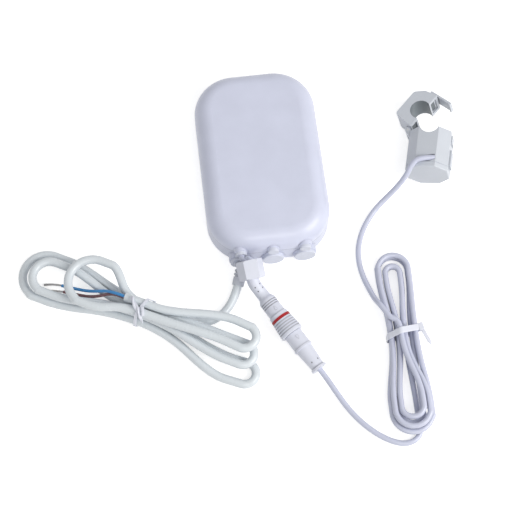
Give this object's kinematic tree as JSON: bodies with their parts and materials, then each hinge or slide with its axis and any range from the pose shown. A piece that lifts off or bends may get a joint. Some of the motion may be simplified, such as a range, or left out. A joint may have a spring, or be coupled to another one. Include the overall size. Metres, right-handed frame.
{
  "type": "smart energy monitor",
  "caption": "Rounded wall box that meters mains energy, with a mains lead, and a split core current clamp on a tied lead with a waterproof connector.",
  "frame": {"origin": "centre of the wall box's flat back face", "axes": "+Z out through the front cover, +Y along the box away from its cable ports, +X across it"},
  "size_m": [0.3538, 0.3076, 0.036],
  "materials": {
    "cover_plastic": "fine satin, pale cool white",
    "case_plastic": "fine satin, pale cool white",
    "seal_rubber": "matt",
    "screw_steel": "bright zinc",
    "board_green": "solder mask",
    "module_black": "moulded",
    "can_aluminium": "satin",
    "varistor_blue": "dipped",
    "terminal_green": "moulded",
    "radio_can": "pressed can",
    "header_white": "moulded",
    "wire_blue": "soft insulation",
    "wire_brown": "soft insulation",
    "copper_tinned": "tinned strands",
    "sensor_sheath": "soft sheath, faint lilac white",
    "mains_sheath": "soft sheath, cool white",
    "gland_plastic": "moulded",
    "boot_rubber": "soft moulded",
    "tie_white": "nylon",
    "nut_plastic": "moulded nylon",
    "connector_plastic": "moulded nylon",
    "ring_red": "silicone",
    "contact_brass": "turned",
    "clamp_plastic": "fine satin, light grey",
    "core_ferrite": "ground ferrite",
    "coil_copper": "enamelled winding"
  },
  "bodies": {
    "monitor": {"front_cover": "cover_plastic", "back_case": "case_plastic", "case_seal": "seal_rubber", "case_screws": "screw_steel", "board_screws": "screw_steel", "main_board": "board_green", "power_module": "module_black", "filter_capacitors": "can_aluminium", "fuse": "module_black", "surge_varistor": "varistor_blue", "terminal_block": "terminal_green", "metering_chip": "module_black", "wifi_module": "radio_can", "sensor_headers": "header_white", "inner_blue_wire": "wire_blue", "inner_brown_wire": "wire_brown", "inner_sensor_lead": "sensor_sheath", "large_port_plugs": "gland_plastic", "small_port_plugs": "gland_plastic", "mains_gland": "gland_plastic", "mains_strain_relief": "boot_rubber", "mains_lead": "mains_sheath", "mains_hank": "mains_sheath", "mains_tie": "tie_white", "mains_blue_wire": "wire_blue", "mains_brown_wire": "wire_brown", "mains_bare_ends": "copper_tinned", "ct_grommet": "gland_plastic", "pigtail_lead": "sensor_sheath", "socket_half": "connector_plastic", "sealing_ring": "ring_red", "plug_half": "connector_plastic", "contact_pins": "contact_brass", "plug_boot": "connector_plastic", "ct_lead": "sensor_sheath", "ct_hank": "sensor_sheath", "ct_tie": "tie_white", "ct_lead_tail": "sensor_sheath", "clamp_case": "clamp_plastic", "clamp_end_cap": "clamp_plastic", "clamp_core_case": "core_ferrite", "clamp_coil": "coil_copper", "clamp_hinge_pin": "screw_steel"},
    "jaw": {"clamp_jaw": "clamp_plastic", "clamp_core_jaw": "core_ferrite"},
    "loose_nut": {"gland_nut": "nut_plastic"},
    "connector_nut": {"coupling_nut": "connector_plastic"}
  },
  "joints": [
    {"name": "jaw_hinge", "type": "hinge", "parent": "monitor", "child": "jaw", "pos_m": [0.1204, 0.01522, 0.01237], "axis": [-0.2589, 0.0728, 0.9632], "range_deg": [-57, 10]},
    {"name": "loose_nut_turn", "type": "hinge", "parent": "monitor", "child": "loose_nut", "pos_m": [-0.0188, -0.0891, 0.0219], "axis": [0.1, -0.9351, -0.34], "continuous": true},
    {"name": "connector_nut_turn", "type": "hinge", "parent": "monitor", "child": "connector_nut", "pos_m": [0.00369, -0.13361, 0.01003], "axis": [0.496, -0.8635, -0.0916], "continuous": true}
  ]
}
